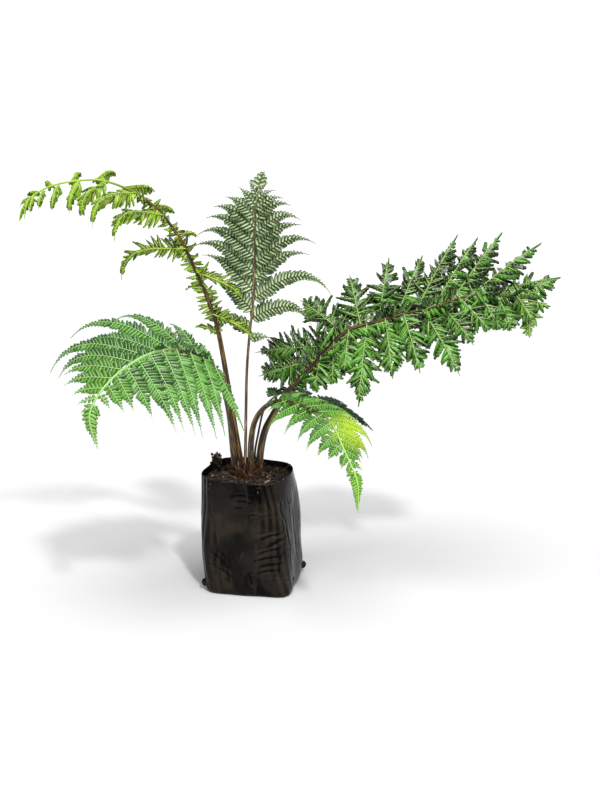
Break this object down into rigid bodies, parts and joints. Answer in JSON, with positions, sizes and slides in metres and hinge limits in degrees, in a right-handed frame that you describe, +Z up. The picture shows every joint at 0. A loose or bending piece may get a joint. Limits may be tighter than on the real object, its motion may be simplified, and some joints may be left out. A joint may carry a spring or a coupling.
{
  "type": "potted tree fern",
  "caption": "Young Norfolk Island tree fern in a black film nursery bag, with arching, twice-divided fronds on brown scaly stems.",
  "frame": {"origin": "centre of the nursery bag's flat base, on the surface that it stands on", "axes": "+Z up; +X to the right of the picture's camera, along the plant's widest spread; +Y away from the camera"},
  "size_m": [0.8302, 0.4005, 0.6701],
  "materials": {
    "bag_film": "thin black-brown polythene film, glossy, creased",
    "potting_mix": "dark crumbly mix with bark chips and fibres, matt",
    "crown_scales": "red-brown papery scales, matt",
    "stem_brown": "brown stem with tan lengthwise streaks, satin",
    "stem_dark": "dark brown thin stem, satin",
    "leaf_lime": "bright yellow-green leaf, soft satin",
    "leaf_underside": "grey-green leaf underside with pale ribs, matt",
    "leaf_mid": "mid green leaf, satin",
    "leaf_dark": "dark green leaf, glossy, with pale ribs",
    "leaf_light": "light green leaf, satin",
    "leaf_shade": "very dark green leaf, matt"
  },
  "bodies": {
    "root": {"bag": "bag_film", "soil": "potting_mix", "crown": "crown_scales", "lime_stipe": "stem_brown", "upright_stipe": "stem_dark", "left_stipe": "stem_brown", "right_stipe": "stem_brown", "front_stipe": "stem_brown", "back_stipe": "stem_dark", "lime_frond": "leaf_lime", "upright_frond": "leaf_underside", "left_frond": "leaf_mid", "right_frond": "leaf_dark", "front_frond": "leaf_light", "back_frond": "leaf_shade"}
  },
  "joints": []
}
